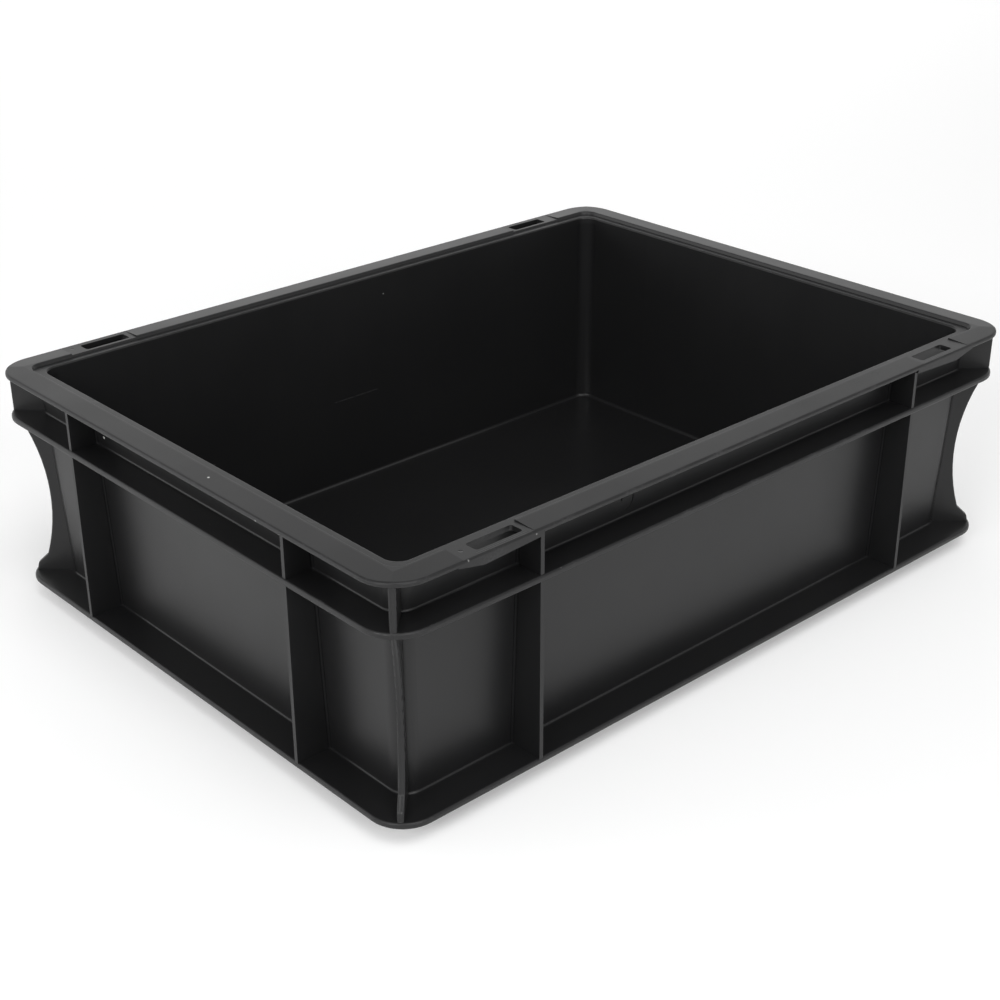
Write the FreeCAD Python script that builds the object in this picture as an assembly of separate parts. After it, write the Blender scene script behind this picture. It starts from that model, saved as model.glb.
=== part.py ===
import FreeCAD, Part
import math
import os
from FreeCAD import Vector

# Stacking box moulded in one piece. All sizes are in millimetres.
# X runs along the long sides, Y along the short ones, Z up.
# The origin is under the middle of the box, on the plane that its foot stands on.

# overall
length = 400.0
width = 300.0
height = 120.0
corner_radius = 18.0

# rim: a plate all round that rises to a crest, and a stacking ledge inside the crest
rim_thickness = 3.0
rim_fall = 0.6
rim_slope_run = 11.0
rim_land = 12.1
rim_edge_round = 1.1
crest_round = 0.45
ledge_drop = 1.65
ledge_face_run = 0.7
ledge_corner_radius = 7.4
ledge_edge_round = 0.8

# side walls, drafted inside and out
wall_set_back = 13.7
wall_draft_deg = 2.18
wall_thickness_top = 3.4
wall_thickness_base = 2.3
wall_corner = 8.6
cavity_corner = 7.0

# floor and foot
floor_thickness = 2.4
floor_recess = 1.6
floor_recess_draft = 0.3
floor_fillet = 2.0
foot_depth = 8.3
foot_ring_width = 4.4
foot_round = 1.4

# girdle flange below the rim, and base flange above the foot
girdle_drop = 22.0
girdle_thickness = 3.0
girdle_set_back = 0.3
base_flange_thickness = 3.0
base_flange_set_back = 1.0
flange_edge_round = 1.1

# fillet where flanges and side ribs grow out of the walls
root_fillet = 1.0

# upright ribs, two on every side
side_rib_thickness = 2.0
side_rib_root_extra = 0.4
side_rib_root_depth = 2.0
side_rib_set_back = 1.1
long_side_rib_from_end = 77.6
short_side_rib_from_end = 67.7

# diagonal corner ribs; a reach is measured inward from the sharp corner of the plan
corner_rib_thickness = 3.0
corner_rib_edge_round = 0.7
corner_rib_root_reach = 34.0
upper_reach = 8.4
arc_top_reach = 10.1
arc_waist_reach = 20.5
arc_foot_reach = 15.6
arc_foot_height = 8.7
shoulder_reach = 10.3
shoulder_drop = 5.0
toe_reach = 9.3
shoulder_round = 2.0

# lid slots through the rim of the long sides, one near each corner
slot_length = 24.0
slot_from_edge = 3.7
slot_width = 6.9
slot_from_end = 57.5
slot_corner = 1.2
pad_to_middle = 3.2
pad_to_end = 9.2

# deeper lip under the rim's edge along each slot
lip_thickness = 2.2
lip_depth = 2.6
lip_depth_at_rib = 1.0
lip_full_from_end = 46.0
lip_end_from_end = 33.0
lip_toe = 0.2

# round insert mark on the wall of one long side, above the girdle
mark_radius = 6.0
mark_dot_radius = 1.0
mark_depth = 0.35
mark_from_middle = -63.5
mark_below_rim = 13.5

# levels and slopes that follow from the sizes above
rim_edge_top = height - rim_fall
rim_bottom = height - rim_thickness
ledge_level = height - ledge_drop
girdle_top = height - girdle_drop
girdle_bottom = girdle_top - girdle_thickness
base_flange_top = foot_depth + base_flange_thickness
floor_top = floor_recess + floor_thickness
draft = math.tan(math.radians(wall_draft_deg))
into = 0.5
cut_margin = 5.0


def wall_inset(level):
    """Distance of the wall's outer face behind the rim's edge at a level."""
    return wall_set_back + (rim_bottom - level) * draft


def corners_at(inset, level):
    """Four corners of the plan, set in all round, at a level."""
    x = length / 2 - inset
    y = width / 2 - inset
    return [Vector(x, y, level), Vector(-x, y, level), Vector(-x, -y, level), Vector(x, -y, level)]


def frustum(lower_inset, lower_level, upper_inset, upper_level):
    """Solid with flat sloping sides between two levels."""
    low = corners_at(lower_inset, lower_level)
    high = corners_at(upper_inset, upper_level)
    base = low[::-1]
    faces = [Part.Face(Part.makePolygon(high + high[:1])), Part.Face(Part.makePolygon(base + base[:1]))]
    for n in range(4):
        m = (n + 1) % 4
        faces.append(Part.Face(Part.makePolygon([low[n], low[m], high[m], high[n], low[n]])))
    return Part.makeSolid(Part.makeShell(faces))


def round_uprights(solid, radius):
    """Round the four corner edges that run up the sides."""
    box = solid.BoundBox
    uprights = [edge for edge in solid.Edges if edge.BoundBox.ZLength > box.ZLength / 2]
    return solid.makeFillet(radius, uprights)


def plate(inset, bottom, top):
    """Plate of constant thickness over the whole plan, with round corners."""
    size = Vector(length - 2 * inset, width - 2 * inset, top - bottom)
    solid = Part.makeBox(size.x, size.y, size.z, Vector(-size.x / 2, -size.y / 2, bottom))
    return round_uprights(solid, corner_radius - inset)


def edges_at(solid, *levels):
    """Edges that lie wholly in one of the given levels."""
    found = []
    for edge in solid.Edges:
        box = edge.BoundBox
        for level in levels:
            if abs(box.ZMin - level) < 0.01 and abs(box.ZMax - level) < 0.01:
                found.append(edge)
    return found


def root_edges(solid, wall):
    """Sharp edges on the wall's surface, where flanges and ribs grow out of it."""
    found = []
    for edge in solid.Edges:
        point = edge.valueAt((edge.FirstParameter + edge.LastParameter) / 2)
        if wall.distToShape(Part.Vertex(point))[0] > 0.001:
            continue
        normals = []
        for face in solid.ancestorsOfType(edge, Part.Face):
            u, v = face.Surface.parameter(point)
            normals.append(face.normalAt(u, v))
        if len(normals) == 2 and normals[0].dot(normals[1]) < 0.9:
            found.append(edge)
    return found


def rim():
    """Rim plate whose top rises to the crest in a low hipped slope, mitred at the corners."""
    slope_run = rim_slope_run / rim_fall
    reach = (rim_edge_top - rim_bottom) * slope_run
    slope = frustum(-reach, rim_bottom, rim_slope_run, height)
    return plate(0.0, rim_bottom, height).common(slope)


def ring_inset(edge):
    """Smallest distance of an edge behind the overall outline."""
    box = edge.BoundBox
    behind_x = length / 2 - max(abs(box.XMin), abs(box.XMax))
    behind_y = width / 2 - max(abs(box.YMin), abs(box.YMax))
    return min(behind_x, behind_y)


def round_rim(solid):
    """Round the rim's outer edges, above and below."""
    edges = []
    for edge in solid.Edges:
        if ring_inset(edge) < 0.01 and edge.BoundBox.ZLength < rim_thickness / 3:
            edges.append(edge)
    return solid.makeFillet(rim_edge_round, edges)


def flange(inset, bottom, top):
    """Flat flange with round edges."""
    solid = plate(inset, bottom, top)
    return solid.makeFillet(flange_edge_round, edges_at(solid, bottom, top))


def wall_block():
    """Outer form of the walls and foot, before it is hollowed."""
    top = rim_bottom + into
    solid = round_uprights(frustum(wall_inset(0.0), 0.0, wall_inset(top), top), wall_corner)
    return solid.makeFillet(foot_round, edges_at(solid, 0.0))


def side_rib(bottom, top):
    """Upright rib of one band, thicker at its root, on a side that faces -Y."""
    edge_y = side_rib_set_back
    root_y = wall_inset(0.0) + side_rib_root_depth
    half_edge = side_rib_thickness / 2
    half_root = half_edge + side_rib_root_extra / 2
    corners = [Vector(-half_root, root_y, bottom - into), Vector(-half_edge, edge_y, bottom - into),
               Vector(half_edge, edge_y, bottom - into), Vector(half_root, root_y, bottom - into)]
    face = Part.Face(Part.makePolygon(corners + corners[:1]))
    return face.extrude(Vector(0, 0, top - bottom + 2 * into))


def side_ribs():
    """Two ribs on each side, in the band above the girdle and the band below it."""
    ribs = []
    for bottom, top in ((girdle_top, rim_bottom), (base_flange_top, girdle_bottom)):
        for turn, side_length, depth, from_end in (
                (0, length, width, long_side_rib_from_end),
                (90, width, length, short_side_rib_from_end)):
            for half_turn in (0, 180):
                for place in (-1, 1):
                    rib = side_rib(bottom, top)
                    rib.translate(Vector(place * (side_length / 2 - from_end), -depth / 2, 0))
                    rib.rotate(Vector(0, 0, 0), Vector(0, 0, 1), turn + half_turn)
                    ribs.append(rib)
    return ribs


def across_rib(profile):
    """Rib of the corner rib's thickness from a profile in the XZ plane."""
    rib = Part.Face(profile).extrude(Vector(0, corner_rib_thickness, 0))
    rib.translate(Vector(0, -corner_rib_thickness / 2, 0))
    return rib


def round_rib_edges(rib):
    """Round the two long outer edges of a corner rib."""
    wanted = []
    for edge in rib.Edges:
        box = edge.BoundBox
        on_face = abs(box.YMax - box.YMin) < 0.01
        inner_half = -corner_rib_root_reach + corner_rib_edge_round
        if on_face and box.XMax - box.XMin < corner_rib_root_reach / 2 and box.XMin > inner_half:
            wanted.append(edge)
    return rib.makeFillet(corner_rib_edge_round, wanted)


def upper_corner_rib():
    """Corner rib between the girdle and the rim, with an upright edge."""
    x0 = -corner_rib_root_reach
    x1 = -upper_reach
    z0 = girdle_top - into
    z1 = rim_bottom + into
    corners = [Vector(x0, 0, z0), Vector(x1, 0, z0), Vector(x1, 0, z1), Vector(x0, 0, z1)]
    return round_rib_edges(across_rib(Part.makePolygon(corners + corners[:1])))


def lower_corner_rib():
    """Corner rib below the girdle, its edge drawn in by a long arc above a shoulder."""
    x0 = -corner_rib_root_reach
    top = girdle_bottom + into
    bottom = base_flange_top - into
    rise = base_flange_top + arc_foot_height
    head = Vector(-arc_top_reach, 0, girdle_bottom)
    foot = Vector(-arc_foot_reach, 0, rise)
    waist = Vector(-arc_waist_reach, 0, (girdle_bottom + rise) / 2)
    shoulder = Vector(-shoulder_reach, 0, rise - shoulder_drop)
    toe = Vector(-toe_reach, 0, bottom)
    points = [toe, Vector(x0, 0, bottom), Vector(x0, 0, top), Vector(-arc_top_reach, 0, top), head]
    lines = [Part.makeLine(a, b) for a, b in zip(points, points[1:])]
    arc = Part.Arc(head, waist, foot).toShape()
    slope = Part.makeLine(foot, shoulder)
    rise_line = Part.makeLine(shoulder, toe)
    rib = across_rib(Part.Wire(lines + [arc, slope, rise_line]))
    blends = []
    for edge in rib.Edges:
        box = edge.BoundBox
        across = box.YMax - box.YMin > corner_rib_thickness - 0.01
        at_shoulder = abs(box.ZMin - shoulder.z) < 0.01 or abs(box.ZMin - foot.z) < 0.01
        if across and box.ZMax - box.ZMin < 0.01 and at_shoulder:
            blends.append(edge)
    rib = rib.makeFillet(shoulder_round, blends)
    return round_rib_edges(rib)


def corner_ribs():
    """The two corner ribs, turned into each of the four corners."""
    ribs = []
    for sx, sy, angle in ((1, 1, 45), (-1, 1, 135), (-1, -1, 225), (1, -1, 315)):
        for rib in (upper_corner_rib(), lower_corner_rib()):
            rib.rotate(Vector(0, 0, 0), Vector(0, 0, 1), angle)
            rib.translate(Vector(sx * length / 2, sy * width / 2, 0))
            ribs.append(rib)
    return ribs


def at_four_places(shape):
    """A shape near the -X, -Y corner, and its mirror images near the other three."""
    across = shape.mirror(Vector(0, 0, 0), Vector(1, 0, 0))
    pair = [shape, across]
    return pair + [item.mirror(Vector(0, 0, 0), Vector(0, 1, 0)) for item in pair]


def lips():
    """Lip under the rim's edge beside each slot, deepest near the corner."""
    y = -width / 2
    top = rim_bottom + rim_edge_round + lip_toe
    rib_x = -length / 2 + long_side_rib_from_end
    full_x = -length / 2 + lip_full_from_end
    end_x = -length / 2 + lip_end_from_end
    corners = [Vector(rib_x, y, top), Vector(rib_x, y, rim_bottom - lip_depth_at_rib),
               Vector(full_x, y, rim_bottom - lip_depth), Vector(end_x, y, rim_bottom + lip_toe),
               Vector(end_x, y, top)]
    lip = Part.Face(Part.makePolygon(corners + corners[:1])).extrude(Vector(0, lip_thickness, 0))
    return at_four_places(lip)


def cavity():
    """Inside of the box, from the floor up to the ledge."""
    base = wall_inset(floor_top) + wall_thickness_base
    top = wall_inset(rim_bottom) + wall_thickness_top
    solid = round_uprights(frustum(base, floor_top, top, height + into), cavity_corner)
    return solid.makeFillet(floor_fillet, edges_at(solid, floor_top))


def ledge_recess():
    """Room that the ledge leaves inside the crest for a lid that is let into the rim."""
    run = ledge_face_run * (1 + into / ledge_drop)
    inset = rim_land + ledge_face_run
    return round_uprights(frustum(inset, ledge_level, inset - run, height + into), ledge_corner_radius)


def foot_recess():
    """Shallow recess under the floor, which leaves the foot standing as a ring."""
    inset = wall_inset(0.0) + foot_ring_width
    return round_uprights(frustum(inset, -into, inset + floor_recess_draft, floor_recess), cavity_corner)


def slot_tools():
    """Level pad across the rim, and the through slot for a lid's hook in it."""
    x0 = -length / 2 + slot_from_end - slot_length / 2
    pad = Part.makeBox(pad_to_end + slot_length + pad_to_middle, into + rim_land + ledge_face_run,
                       cut_margin, Vector(x0 - pad_to_end, -width / 2 - into, rim_edge_top))
    hole = Part.makeBox(slot_length, slot_width, rim_thickness + 2 * cut_margin,
                        Vector(x0, -width / 2 + slot_from_edge, rim_bottom - cut_margin))
    uprights = [edge for edge in hole.Edges if edge.BoundBox.ZLength > rim_thickness]
    return at_four_places(pad) + at_four_places(hole.makeFillet(slot_corner, uprights))


def insert_mark():
    """Shallow round recess with a dot left standing in its middle."""
    level = height - mark_below_rim
    y = -width / 2 + wall_inset(level) + mark_depth
    centre = Vector(mark_from_middle, y, level)
    outward = Vector(0, -1, 0)
    disc = Part.makeCylinder(mark_radius, cut_margin, centre, outward)
    dot = Part.makeCylinder(mark_dot_radius, cut_margin, centre, outward)
    return disc.cut(dot)


def round_crest(solid):
    """Round the crest of the rim and the inner edge of the stacking ledge."""
    crest = [edge for edge in edges_at(solid, height) if ring_inset(edge) > rim_land - 0.01]
    solid = solid.makeFillet(crest_round, crest)
    ledge_outer = rim_land + ledge_face_run
    inner = [edge for edge in edges_at(solid, ledge_level) if ring_inset(edge) > ledge_outer + into]
    return solid.makeFillet(ledge_edge_round, inner)


def container():
    """The whole moulding."""
    wall = wall_block()
    girdle = flange(girdle_set_back, girdle_bottom, girdle_top)
    base = flange(base_flange_set_back, foot_depth, base_flange_top)
    body = wall.fuse([round_rim(rim()), girdle, base] + side_ribs()).removeSplitter()
    body = body.makeFillet(root_fillet, root_edges(body, wall))
    body = body.fuse(corner_ribs())
    body = body.cut(cavity().fuse(ledge_recess()))
    body = round_crest(body)
    body = body.fuse(lips())
    body = body.cut([foot_recess()] + slot_tools() + [insert_mark()])
    return body.removeSplitter()


if __name__ == "__main__":
    os.makedirs("parts", exist_ok=True)
    box = container()
    print("solids", len(box.Solids), "valid", box.isValid(), "volume", round(box.Volume, 1))
    box.Solids[0].exportStep("parts/container.step")
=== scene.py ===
import bpy
import math
from mathutils import Euler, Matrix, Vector

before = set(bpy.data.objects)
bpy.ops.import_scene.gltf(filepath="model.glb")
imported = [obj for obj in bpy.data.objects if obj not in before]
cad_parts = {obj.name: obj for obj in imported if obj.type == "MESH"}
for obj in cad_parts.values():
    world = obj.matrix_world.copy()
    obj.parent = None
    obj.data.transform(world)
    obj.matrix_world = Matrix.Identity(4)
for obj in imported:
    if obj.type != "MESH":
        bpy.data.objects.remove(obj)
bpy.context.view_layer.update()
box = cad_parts["container"]
bpy.ops.object.select_all(action="DESELECT")
print("container loaded")

# camera, solved from the straight edges of the container
view = {
    "place": (-0.53181, -0.57486, 0.42084),
    "turn": (63.8406, 0.2414, -42.3721),
    "lens": 61.646,
    "sensor": 36.0,
    "near": 0.01,
}


def placeCamera():
    data = bpy.data.cameras.new("camera")
    data.sensor_width = view["sensor"]
    data.lens = view["lens"]
    data.clip_start = view["near"]
    camera = bpy.data.objects.new("camera", data)
    camera.location = view["place"]
    camera.rotation_euler = Euler([math.radians(angle) for angle in view["turn"]], "XYZ")
    bpy.context.scene.collection.objects.link(camera)
    bpy.context.scene.camera = camera


placeCamera()
print("camera placed")


# a wire carries one socket through the shader maths
class Wire:
    def __init__(self, tree, socket):
        self.tree = tree
        self.socket = socket

    # any node: settings first, then the values or links of its sockets
    def node(self, kind, settings, sockets, output=0):
        made = self.tree.nodes.new(kind)
        for name, value in settings.items():
            setattr(made, name, value)
        for name, value in sockets.items():
            if isinstance(value, Wire):
                self.tree.links.new(value.socket, made.inputs[name])
            else:
                made.inputs[name].default_value = value
        return Wire(self.tree, made.outputs[output])

    def maths(self, operation, first, second=0.0):
        return self.node("ShaderNodeMath", {"operation": operation}, {0: first, 1: second})

    def __add__(self, other):
        return self.maths("ADD", self, other)

    __radd__ = __add__

    def __sub__(self, other):
        return self.maths("SUBTRACT", self, other)

    def __rsub__(self, other):
        return self.maths("SUBTRACT", other, self)

    def __mul__(self, other):
        return self.maths("MULTIPLY", self, other)

    __rmul__ = __mul__

    def __pow__(self, other):
        return self.maths("POWER", self, other)

    def __rpow__(self, other):
        return self.maths("POWER", other, self)

    def __abs__(self):
        return self.maths("ABSOLUTE", self)

    def atLeast(self, other):
        return self.maths("MAXIMUM", self, other)

    def atMost(self, other):
        return self.maths("MINIMUM", self, other)

    # the three numbers of a place or direction
    def axes(self):
        split = self.node("ShaderNodeSeparateXYZ", {}, {0: self}).socket.node
        return [Wire(self.tree, output) for output in split.outputs]

    # 0 below the first value, 1 above the second, soft between
    def rise(self, low, high):
        sockets = {"Value": self, "From Min": low, "From Max": high}
        return self.node("ShaderNodeMapRange", {"interpolation_type": "SMOOTHSTEP"}, sockets)

    # 1 below the first value, 0 above the second
    def fall(self, low, high):
        return 1.0 - self.rise(low, high)

    # 1 within the reach of a place, 0 outside, soft over the last part
    def near(self, place, reach, soft):
        return abs(self - place).fall(reach, reach + soft)


def newTree(owner):
    owner.use_nodes = True
    owner.node_tree.nodes.clear()
    return owner.node_tree


def startWire(tree, kind, output):
    return Wire(tree, tree.nodes.new(kind).outputs[output])


# how far a place or direction lies toward a heading
def toward(east, north, heading):
    turn = math.radians(heading)
    return east * math.cos(turn) + north * math.sin(turn)


# lamps, world and floor of the studio: metres, degrees, and strengths where 1 is white
studio = {
    "floorSize": 8.0,
    "floorDrop": 0.0002,
    "floorTone": 0.78,
    "floorGlow": 0.25,
    # the floor glows more far behind the container and less to its right
    "farHeading": 42.0,
    "farGlow": 0.24,
    "farBand": (0.2, 2.2),
    "rightHeading": -47.84,
    "rightDim": 0.1,
    "rightBand": (0.0, 0.8),
    "backdropHeading": 75.0,
    "backdropBand": (-0.5, 1.1),
    "backdropHeights": (18.0, 56.0),
    "backdropStrength": 1.27,
    "ceilingStrength": 0.87,
    "horizonStrength": 1.0,
    "horizonHeights": (11.0, 24.0),
    "middle": (0.0, 0.0, 0.06),
    # name: heading, elevation, distance, width, height, radiance
    "lamps": {
        "left softbox": (-165.0, 27.0, 3.2, 1.6, 0.9, 8.0),
        "right softbox": (-100.0, 27.0, 3.2, 1.6, 0.9, 5.2),
        "top softbox": (-102.0, 62.0, 3.2, 1.6, 1.6, 2.8),
        "side softbox": (138.0, 14.0, 3.2, 1.4, 0.9, 2.2),
    },
}


def placeLamps():
    for name, numbers in studio["lamps"].items():
        heading, elevation, distance, width, height, radiance = numbers
        turn, lift = math.radians(heading), math.radians(elevation)
        flat = math.cos(lift)
        toLamp = Vector((math.cos(turn) * flat, math.sin(turn) * flat, math.sin(lift)))
        data = bpy.data.lights.new(name, "AREA")
        data.shape = "RECTANGLE"
        data.size = width
        data.size_y = height
        data.energy = radiance * math.pi * width * height
        lamp = bpy.data.objects.new(name, data)
        lamp.location = Vector(studio["middle"]) + toLamp * distance
        lamp.rotation_euler = toLamp.to_track_quat("Z", "Y").to_euler()
        bpy.context.scene.collection.objects.link(lamp)


# 1 below a pair of elevations in the world, 0 above them
def lowInSky(up, elevations):
    return up.fall(*[math.sin(math.radians(elevation)) for elevation in elevations])


def paintWorld():
    world = bpy.data.worlds.new("studio")
    bpy.context.scene.world = world
    tree = newTree(world)
    east, north, up = startWire(tree, "ShaderNodeTexCoord", "Generated").axes()
    behind = toward(east, north, studio["backdropHeading"]).rise(*studio["backdropBand"])
    low = lowInSky(up, studio["backdropHeights"])
    # a white band all round, low over the floor
    horizon = lowInSky(up, studio["horizonHeights"]) * studio["horizonStrength"]
    strength = (low * behind * studio["backdropStrength"]).atLeast(horizon)
    strength = strength + (1.0 - low) * (1.0 - behind) * studio["ceilingStrength"]
    sockets = {"Color": (1, 1, 1, 1), "Strength": strength}
    background = up.node("ShaderNodeBackground", {}, sockets)
    out = tree.nodes.new("ShaderNodeOutputWorld")
    tree.links.new(background.socket, out.inputs["Surface"])


def layFloor():
    place = (0, 0, -studio["floorDrop"])
    bpy.ops.mesh.primitive_plane_add(size=studio["floorSize"], location=place)
    floor = bpy.context.object
    floor.name = "floor"
    material = bpy.data.materials.new("floor")
    tree = newTree(material)
    camera = startWire(tree, "ShaderNodeLightPath", "Is Camera Ray")
    glossy = startWire(tree, "ShaderNodeLightPath", "Is Glossy Ray")
    through = startWire(tree, "ShaderNodeLightPath", "Is Transmission Ray")
    seen = (camera + glossy + through).atMost(1.0)
    tone = studio["floorTone"]
    diffuse = seen.node("ShaderNodeBsdfDiffuse", {}, {"Color": (tone, tone, tone, 1)})
    east, north = startWire(tree, "ShaderNodeTexCoord", "Object").axes()[:2]
    far = toward(east, north, studio["farHeading"]).rise(*studio["farBand"])
    right = toward(east, north, studio["rightHeading"]).rise(*studio["rightBand"])
    strength = far * studio["farGlow"] + studio["floorGlow"] - right * studio["rightDim"]
    glow = seen.node("ShaderNodeEmission", {}, {"Strength": seen * strength})
    both = seen.node("ShaderNodeAddShader", {}, {0: diffuse, 1: glow})
    out = tree.nodes.new("ShaderNodeOutputMaterial")
    tree.links.new(both.socket, out.inputs["Surface"])
    floor.data.materials.append(material)
    floor.select_set(False)


placeLamps()
paintWorld()
layFloor()
bpy.context.scene.view_settings.view_transform = "Standard"
print("studio set")

# the black plastic: tones, roughness, relief in metres, and how strong its marks are
plastic = {
    "darkTone": (0.0084, 0.0084, 0.0088, 1.0),
    # tone of wear, also used as a painted highlight on the edges
    "wornAndSheenTone": (0.034, 0.034, 0.035, 1.0),
    # tone of the painted highlights at the glints, and of dust
    "glintAndDustTone": (0.55, 0.55, 0.54, 1.0),
    "roughness": 0.385,
    "specular": 0.405,
    "floorRoughness": 0.33,
    "cloudRoughness": 0.05,
    "grainRoughness": 0.06,
    "edgeRoughness": 0.05,
    "wearRoughness": 0.2,
    "dragRoughness": 0.06,
    "grainHeight": 0.000005,
    "waveHeight": 0.0003,
    "sinkDepth": 0.00004,
    "scratchDepth": 0.000012,
    "pitDepth": 0.0004,
    "grooveDepth": 0.00016,
    "barDepth": 0.00005,
    "mouldMarkDepth": 0.0001,
    # painted shade at the rib roots and in the inner corners
    "rootShade": 0.85,
    "innerShade": 0.35,
    # edge lightening: wear and a painted highlight
    "edgeWearAndSheen": 0.6,
    "hairWear": 0.4,
    "rubWear": 0.8,
    "scratchWear": 0.6,
    "dustLight": 0.25,
}

# sizes of the container that its marks follow, in metres
outline = {
    "halfLength": 0.2,
    "halfWidth": 0.15,
    "cornerRadius": 0.018,
    "wallFoot": 0.01816,
    "wallSlope": 0.0381,
    "longRib": 0.1224,
    "shortRib": 0.0823,
    "pinX": 0.120,
    "pinY": 0.080,
}

# soft steps in metres, where each starts and ends: heights, insets from the
# outline, depths behind the wall's outer face, and distances from the middle
steps = {
    "rimUnderTop": (0.1177, 0.1181),
    "crestTop": (0.1194, 0.1198),
    "behindCrest": (0.0120, 0.0126),
    "outerEdge": (0.0006, 0.0022),
    "innerFace": (0.0010, 0.0016),
    "outerFace": (-0.0013, -0.0009),
    "floorUnder": (0.0030, 0.0036),
    "floorOver": (0.0045, 0.0060),
    "underside": (0.0020, 0.0030),
    "bayBottom": (0.0115, 0.0125),
    "bayTop": (0.0935, 0.0945),
    "upperBayBottom": (0.0985, 0.0995),
    "upperBayTop": (0.1162, 0.1168),
    "longSide": (0.125, 0.126),
    "shortSide": (0.175, 0.176),
    "slotSide": (0.130, 0.131),
    "innerCornerX": (0.1735, 0.1765),
    "innerCornerY": (0.1235, 0.1265),
    "innerCornerTop": (0.114, 0.116),
    "groove": (0.0, 0.0008),
    "grooveBottom": (0.0112, 0.0116),
    "grooveTop": (0.1164, 0.1168),
    "scratchWall": (0.12, 0.121),
    "gateDot": (0.0006, 0.0012),
}

# narrow marks in metres: place, reach and soft edge
lines = {
    "crest": (0.0121, 0.0002, 0.0004),
    "ribRoot": (0.0017, 0.0005, 0.0003),
    "sink": (0.0, 0.0, 0.0032),
    "scratchHeight": (0.0530, 0.0001, 0.0003),
    "scratchRun": (0.002, 0.0148, 0.0006),
    "slotRun": (0.1425, 0.0130, 0.0004),
    "outerBar": (0.0014, 0.00005, 0.0002),
    "innerBar": (0.0025, 0.00005, 0.0002),
    "gateRing": (0.0040, 0.0003, 0.0006),
    "pinRing": (0.0060, 0.0001, 0.0004),
}

# patterns in the plastic: scale, detail, stretch along x, y and z
patterns = {
    "cloud": (17.0, 1.0, (1.0, 1.0, 1.0)),
    "patch": (75.0, 2.0, (1.0, 1.0, 1.0)),
    "fine": (900.0, 1.0, (1.0, 1.0, 1.0)),
    "grain": (2600.0, 0.0, (1.0, 1.0, 1.0)),
    "drag": (260.0, 2.0, (1.0, 1.0, 0.04)),
    "rimHair": (46.0, 0.0, (1.0, 1.0, 0.2)),
    "rimGaps": (60.0, 2.0, (1.0, 1.0, 1.0)),
    "floorHair": (21.0, 0.0, (1.0, 0.45, 1.0)),
    "floorGaps": (33.0, 2.0, (1.0, 1.0, 1.0)),
    "scratchGaps": (300.0, 2.0, (1.0, 1.0, 1.0)),
    "dustGaps": (21.0, 2.0, (1.0, 1.0, 1.0)),
}

# where a pattern starts to show and where it is full
cuts = {
    "edgePatch": (0.50, 0.68),
    "edgeFine": (0.35, 0.65),
    "rimGaps": (0.56, 0.62),
    "floorGaps": (0.53, 0.60),
    "rubFine": (0.46, 0.60),
    "scratchGaps": (0.30, 0.48),
    "dustGaps": (0.57, 0.60),
    "dustSpeck": (0.010, 0.022),
}

# widths of hairlines in their pattern, dust cells per metre, softness of spots
texture = {
    "rimHairWidth": 0.0035,
    "floorHairWidth": 0.0016,
    "hairCore": 0.4,
    "dustScale": 70.0,
    "glintSoft": 0.5,
    "pitSoft": 0.7,
    "rubSoft": 0.9,
}

# painted highlights: bright glints where small flash burrs and dust catch the light; place and
# radius
glints = [
    ((-0.1993, 0.0455, 0.1172), 0.0009),
    ((-0.1993, -0.0668, 0.1180), 0.0009),
    ((-0.1993, -0.0820, 0.1174), 0.0008),
    ((-0.1268, -0.1493, 0.1179), 0.0009),
    ((-0.1617, -0.1493, 0.1186), 0.0008),
    ((-0.0297, -0.1363, 0.1199), 0.0008),
    ((-0.1932, -0.0242, 0.1197), 0.0007),
    ((-0.1855, 0.0741, 0.1032), 0.0009),
    ((0.0246, 0.1330, 0.1070), 0.0007),
]

# pits beside the slots: place and radius
pits = [
    ((-0.1594, -0.1427, 0.1194), 0.0010),
    ((-0.1593, 0.1452, 0.1194), 0.0010),
]

# rubbed patches on the rim: place and radius
rubs = [
    ((0.0844, -0.1400, 0.1197), 0.0075),
    ((0.0453, -0.1400, 0.1197), 0.0060),
    ((0.1009, -0.1405, 0.1197), 0.0060),
    ((-0.1930, -0.0550, 0.1197), 0.0080),
    ((-0.1450, -0.1410, 0.1194), 0.0090),
]


def spots(place, marks, softness):
    total = None
    for middle, radius in marks:
        sockets = {0: place, 1: middle}
        reach = place.node("ShaderNodeVectorMath", {"operation": "DISTANCE"}, sockets, 1)
        spot = reach.fall(radius * (1.0 - softness), radius)
        total = spot if total is None else total.atLeast(spot)
    return total


def noise(place, name):
    scale, detail, stretch = patterns[name]
    moved = place.node("ShaderNodeVectorMath", {"operation": "MULTIPLY"}, {0: place, 1: stretch})
    sockets = {"Vector": moved, "Scale": scale, "Detail": detail}
    return place.node("ShaderNodeTexNoise", {}, sockets)


# thin scratches: the lines where a stretched noise crosses its middle
def hairlines(place, name, width):
    return abs(noise(place, name) - 0.5).fall(width * texture["hairCore"], width)


# distance inward from the rounded outline of the plan
def insetField(x, y):
    radius = outline["cornerRadius"]
    pastX = abs(x) - (outline["halfLength"] - radius)
    pastY = abs(y) - (outline["halfWidth"] - radius)
    roundX, roundY = pastX.atLeast(0.0), pastY.atLeast(0.0)
    reach = (roundX * roundX + roundY * roundY) ** 0.5
    return radius - reach - pastX.atLeast(pastY).atMost(0.0)


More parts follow.
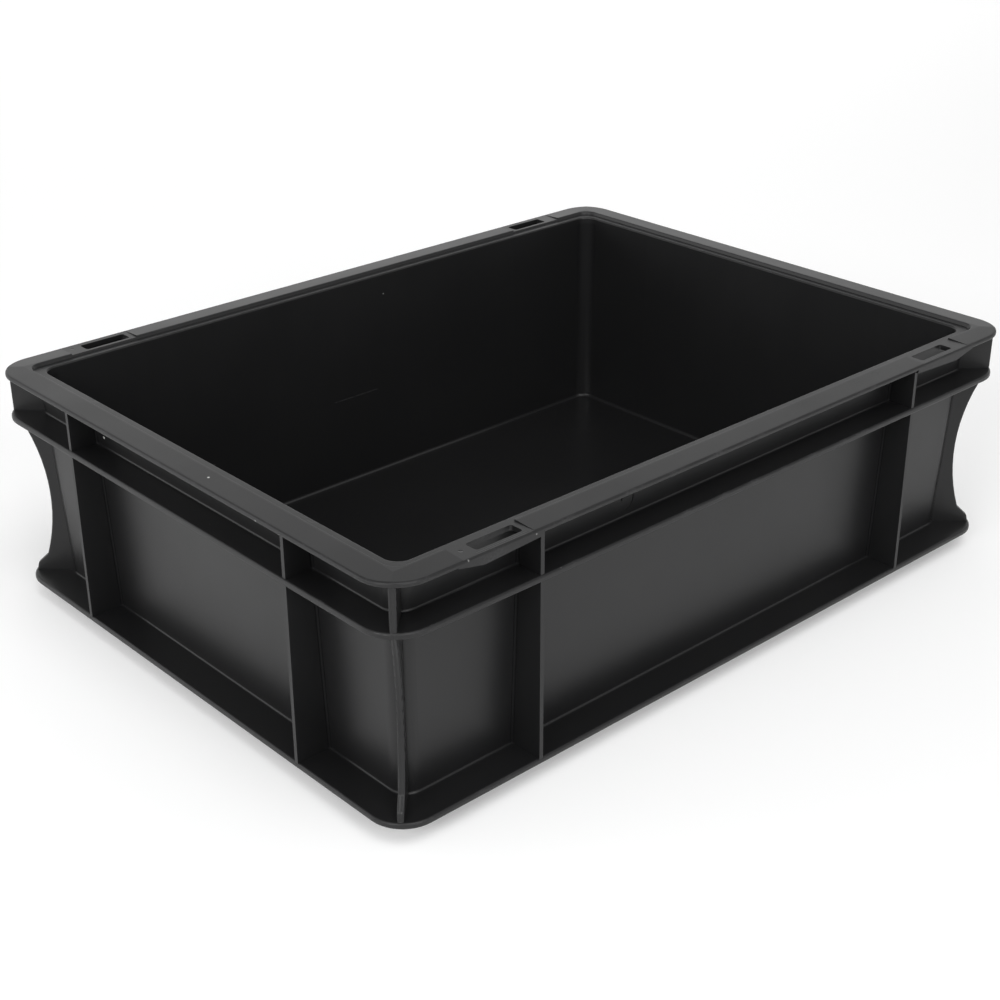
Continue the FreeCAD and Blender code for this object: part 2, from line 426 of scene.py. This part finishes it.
# faces of the container, each as a mask
def findFaces(x, y, z):
    inset = insetField(x, y)
    behindWall = inset + z * outline["wallSlope"] - outline["wallFoot"]
    inside = behindWall.rise(*steps["innerFace"])
    return {
        "inset": inset,
        "onRim": z.rise(*steps["rimUnderTop"]) * inset.fall(*steps["behindCrest"]),
        "outermost": inset.fall(*steps["outerEdge"]),
        "crest": inset.near(*lines["crest"]) * z.rise(*steps["crestTop"]),
        "inside": inside,
        "beforeWall": behindWall.rise(*steps["outerFace"]),
        "onFloor": inside * z.fall(*steps["floorOver"]) * z.rise(*steps["floorUnder"]),
        "underneath": z.fall(*steps["underside"]),
        "longSide": abs(y).rise(*steps["longSide"]),
        "shortSide": abs(x).rise(*steps["shortSide"]),
    }


# painted shade at the roots of the side ribs and in the rounded corners inside: how much a dark
# diffuse covers the plastic there
def shadeRoots(x, y, z, face):
    root = lines["ribRoot"]
    atLongRib = abs(abs(x) - outline["longRib"]).near(*root) * face["longSide"]
    atShortRib = abs(abs(y) - outline["shortRib"]).near(*root) * face["shortSide"]
    upright = z.rise(*steps["bayBottom"]) * z.fall(*steps["bayTop"])
    upright = upright + z.rise(*steps["upperBayBottom"]) * z.fall(*steps["upperBayTop"])
    ribs = (atLongRib + atShortRib) * upright
    roots = ribs * face["beforeWall"] * (1.0 - face["inside"])
    corner = abs(x).rise(*steps["innerCornerX"]) * abs(y).rise(*steps["innerCornerY"])
    corner = corner * face["inside"] * z.fall(*steps["innerCornerTop"])
    return roots * plastic["rootShade"] + corner * plastic["innerShade"]


# the scratch on the far long wall
def scratchMark(place, x, y, z, face):
    band = z.near(*lines["scratchHeight"]) * x.near(*lines["scratchRun"])
    band = band * y.rise(*steps["scratchWall"]) * face["inside"]
    return band * noise(place, "scratchGaps").rise(*cuts["scratchGaps"])


# worn edges that also carry a painted highlight, hairlines and rubbed patches
def wearAndEdgeSheen(place, face, patch, fine):
    # outer edges and crest, lightened in patches: wear and a painted highlight
    wornEdgesAndSheen = face["outermost"].atLeast(face["crest"])
    wornEdgesAndSheen = wornEdgesAndSheen * patch.rise(*cuts["edgePatch"]) * fine.rise(*cuts["edgeFine"])
    acrossRim = hairlines(place, "rimHair", texture["rimHairWidth"])
    acrossRim = acrossRim * noise(place, "rimGaps").rise(*cuts["rimGaps"])
    alongFloor = hairlines(place, "floorHair", texture["floorHairWidth"])
    alongFloor = alongFloor * noise(place, "floorGaps").rise(*cuts["floorGaps"])
    hair = acrossRim * face["onRim"] + alongFloor * face["onFloor"].atLeast(face["underneath"])
    paler = spots(place, rubs, texture["rubSoft"]) * fine.rise(*cuts["rubFine"]) * face["onRim"]
    wearAndSheen = (wornEdgesAndSheen * plastic["edgeWearAndSheen"]).atLeast(hair * plastic["hairWear"])
    return wearAndSheen.atLeast(paler * plastic["rubWear"])


# painted highlights at the glints, and dust that is scattered thinly
def glintsAndDust(place):
    sockets = {"Vector": place, "Scale": texture["dustScale"]}
    speck = place.node("ShaderNodeTexVoronoi", {}, sockets, "Distance").fall(*cuts["dustSpeck"])
    dust = speck * noise(place, "dustGaps").rise(*cuts["dustGaps"])
    return spots(place, glints, texture["glintSoft"]).atLeast(dust * plastic["dustLight"])


# the groove along the edge of the diagonal corner ribs
def ribGroove(x, y, z, face):
    past = abs(x) - abs(y) - (outline["halfLength"] - outline["halfWidth"])
    groove = abs(past * math.sqrt(0.5)).fall(*steps["groove"]) * (1.0 - face["inside"])
    return groove * z.rise(*steps["grooveBottom"]) * z.fall(*steps["grooveTop"])


# gate and ejector pin marks underneath
def mouldMarks(x, y, face):
    toGate = (x * x + y * y) ** 0.5
    gate = toGate.near(*lines["gateRing"]) + toGate.fall(*steps["gateDot"])
    fromPinX, fromPinY = abs(x) - outline["pinX"], abs(y) - outline["pinY"]
    toPin = (fromPinX * fromPinX + fromPinY * fromPinY) ** 0.5
    return gate.atLeast(toPin.near(*lines["pinRing"])) * face["underneath"]


# two fine lines beside each slot
def slotBars(x, y, face):
    bars = face["inset"].near(*lines["outerBar"]).atLeast(face["inset"].near(*lines["innerBar"]))
    return bars * abs(x).near(*lines["slotRun"]) * abs(y).rise(*steps["slotSide"]) * face["onRim"]


# sunk skin on the inner walls, behind the side ribs
def sinkMarks(x, y, face):
    longSink = abs(abs(x) - outline["longRib"]).near(*lines["sink"]) * face["longSide"]
    shortSink = abs(abs(y) - outline["shortRib"]).near(*lines["sink"]) * face["shortSide"]
    return (longSink + shortSink) * face["inside"]


def makePlastic():
    material = bpy.data.materials.new("black plastic")
    tree = newTree(material)
    place = startWire(tree, "ShaderNodeTexCoord", "Object")
    x, y, z = place.axes()
    face = findFaces(x, y, z)
    cloud, patch, fine, grain, drag = [
        noise(place, name) for name in ("cloud", "patch", "fine", "grain", "drag")]
    scratch = scratchMark(place, x, y, z, face)
    wearAndSheen = wearAndEdgeSheen(place, face, patch, fine).atLeast(scratch * plastic["scratchWear"])

    # colour
    dark, paler, glintAndDustColour = plastic["darkTone"], plastic["wornAndSheenTone"], plastic["glintAndDustTone"]
    toneMix = {"data_type": "RGBA"}
    # colour of wear, which on the outer edges and the crest is also a painted highlight
    wornAndSheen = place.node("ShaderNodeMix", toneMix, {0: wearAndSheen, 6: dark, 7: paler}, 2)
    # painted highlights at the glints, and pale dust
    colour = place.node("ShaderNodeMix", toneMix, {0: glintsAndDust(place), 6: wornAndSheen, 7: glintAndDustColour}, 2)

    # roughness
    rough = plastic["roughness"] + (cloud - 0.5) * (2.0 * plastic["cloudRoughness"])
    rough = rough + (patch - 0.5) * plastic["cloudRoughness"]
    rough = rough + (grain - 0.5) * plastic["grainRoughness"]
    rough = rough + face["outermost"] * plastic["edgeRoughness"] + wearAndSheen * plastic["wearRoughness"]
    rough = rough + (drag - 0.5) * face["inside"] * plastic["dragRoughness"]
    rough = rough - face["onFloor"] * (plastic["roughness"] - plastic["floorRoughness"])

    # relief
    relief = grain * plastic["grainHeight"] + cloud * plastic["waveHeight"]
    relief = relief - sinkMarks(x, y, face) * plastic["sinkDepth"]
    relief = relief - scratch * plastic["scratchDepth"]
    relief = relief - ribGroove(x, y, z, face) * plastic["grooveDepth"]
    relief = relief - spots(place, pits, texture["pitSoft"]) * plastic["pitDepth"]
    relief = relief - slotBars(x, y, face) * plastic["barDepth"]
    relief = relief - mouldMarks(x, y, face) * plastic["mouldMarkDepth"]
    bump = place.node("ShaderNodeBump", {}, {"Strength": 1.0, "Distance": 1.0, "Height": relief})

    sockets = {"Base Color": colour, "Roughness": rough, "Normal": bump}
    sockets["Specular IOR Level"] = plastic["specular"]
    satin = place.node("ShaderNodeBsdfPrincipled", {}, sockets)
    # painted shade: a dark diffuse mixed over the satin plastic at the rib roots and the inner
    # corners, to dim their highlights
    paintedShadeSheet = place.node("ShaderNodeBsdfDiffuse", {}, {"Color": dark})
    shade = shadeRoots(x, y, z, face)
    both = place.node("ShaderNodeMixShader", {}, {0: shade, 1: satin, 2: paintedShadeSheet})
    out = tree.nodes.new("ShaderNodeOutputMaterial")
    tree.links.new(both.socket, out.inputs["Surface"])
    return material


blackPlastic = makePlastic()
for slot in box.material_slots:
    slot.material = blackPlastic
print("plastic made")
